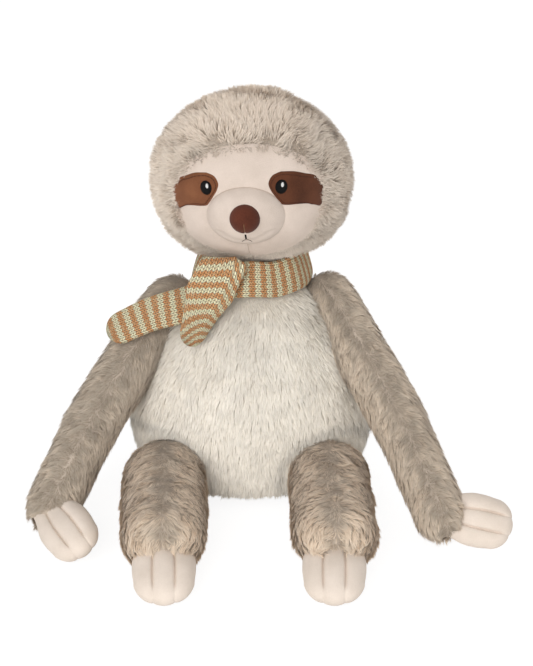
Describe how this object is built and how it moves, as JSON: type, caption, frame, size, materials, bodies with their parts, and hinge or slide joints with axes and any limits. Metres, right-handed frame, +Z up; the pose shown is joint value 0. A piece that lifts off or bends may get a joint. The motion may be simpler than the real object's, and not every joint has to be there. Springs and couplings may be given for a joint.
{
  "type": "plush sloth",
  "caption": "Sitting plush sloth with a fur hood, cream face and belly, long arms, stitched mitts and a striped knitted scarf.",
  "frame": {"origin": "middle of the footprint, on the surface that the toy sits on", "axes": "+X to the right as seen from the front, -Y the way the face looks, +Z up"},
  "size_m": [0.3454, 0.2882, 0.2949],
  "materials": {
    "fur": "long soft pile",
    "hood": "long soft pile",
    "belly": "long soft pile",
    "velour": "short soft pile",
    "patch": "short soft pile",
    "nose": "short soft pile",
    "eye": "glossy embroidery thread",
    "glint": "embroidery thread",
    "thread": "embroidery thread",
    "scarf": "knitted stripes",
    "stuffing": "loose polyester fibre",
    "pouch": "woven cloth"
  },
  "bodies": {
    "body": {"belly_panel": "belly", "back_panel": "fur", "body_stuffing": "stuffing", "pellet_pouch": "pouch", "scarf_wrap": "scarf", "scarf_side_tail": "scarf"},
    "head": {"head_hood": "hood", "face_panel": "velour", "head_stuffing": "stuffing", "muzzle_panel": "velour", "nose": "nose", "eye_patch_left": "patch", "eye_patch_right": "patch", "eye_left": "eye", "eye_right": "eye", "eye_glint_left": "glint", "eye_glint_right": "glint", "mouth_stitch": "thread"},
    "scarf_tail": {"scarf_front_tail": "scarf"},
    "left_arm": {"left_arm_sleeve": "fur", "left_arm_stuffing": "stuffing"},
    "left_hand": {"left_hand_mitt": "velour", "left_hand_stuffing": "stuffing"},
    "left_leg": {"left_leg_sleeve": "fur", "left_leg_stuffing": "stuffing"},
    "left_foot": {"left_foot_mitt": "velour", "left_foot_stuffing": "stuffing"},
    "right_arm": {"right_arm_sleeve": "fur", "right_arm_stuffing": "stuffing"},
    "right_hand": {"right_hand_mitt": "velour", "right_hand_stuffing": "stuffing"},
    "right_leg": {"right_leg_sleeve": "fur", "right_leg_stuffing": "stuffing"},
    "right_foot": {"right_foot_mitt": "velour", "right_foot_stuffing": "stuffing"}
  },
  "joints": [
    {"name": "neck_nod", "type": "hinge", "parent": "body", "child": "head", "pos_m": [-0.01253, 0.08086, 0.164], "axis": [1, 0, 0], "range_deg": [-15, 8], "stiffness_Nm_per_rad": 0.6},
    {"name": "left_shoulder", "type": "hinge", "parent": "body", "child": "left_arm", "pos_m": [-0.06953, 0.08186, 0.125], "axis": [-1, 0, 0], "range_deg": [-10, 100], "stiffness_Nm_per_rad": 0.06, "deforming": ["scarf_side_tail"]},
    {"name": "right_shoulder", "type": "hinge", "parent": "body", "child": "right_arm", "pos_m": [0.04447, 0.08186, 0.125], "axis": [-1, 0, 0], "range_deg": [-10, 100], "stiffness_Nm_per_rad": 0.06},
    {"name": "left_wrist", "type": "hinge", "parent": "left_arm", "child": "left_hand", "pos_m": [-0.15153, -0.02914, 0.021], "axis": [-0.8572, -0.515, 0], "range_deg": [-30, 35], "stiffness_Nm_per_rad": 0.02},
    {"name": "right_wrist", "type": "hinge", "parent": "right_arm", "child": "right_hand", "pos_m": [0.12147, -0.04314, 0.021], "axis": [-0.1736, -0.9848, 0], "range_deg": [-30, 35], "stiffness_Nm_per_rad": 0.02},
    {"name": "left_hip", "type": "hinge", "parent": "body", "child": "left_leg", "pos_m": [-0.07453, 0.00486, 0.026], "axis": [-1, 0, 0], "range_deg": [-60, 30], "stiffness_Nm_per_rad": 0.06},
    {"name": "right_hip", "type": "hinge", "parent": "body", "child": "right_leg", "pos_m": [0.04447, 0.00486, 0.026], "axis": [-1, 0, 0], "range_deg": [-60, 30], "stiffness_Nm_per_rad": 0.06},
    {"name": "left_ankle", "type": "hinge", "parent": "left_leg", "child": "left_foot", "pos_m": [-0.07053, -0.07614, 0.026], "axis": [-0.9988, -0.0493, 0], "range_deg": [-30, 35], "stiffness_Nm_per_rad": 0.02},
    {"name": "right_ankle", "type": "hinge", "parent": "right_leg", "child": "right_foot", "pos_m": [0.04647, -0.07614, 0.026], "axis": [-0.9997, -0.0247, 0], "range_deg": [-30, 35], "stiffness_Nm_per_rad": 0.02},
    {"name": "scarf_tail_lift", "type": "hinge", "parent": "body", "child": "scarf_tail", "pos_m": [-0.02653, 0.02236, 0.176], "axis": [-1, 0, 0], "range_deg": [0, 70]}
  ]
}
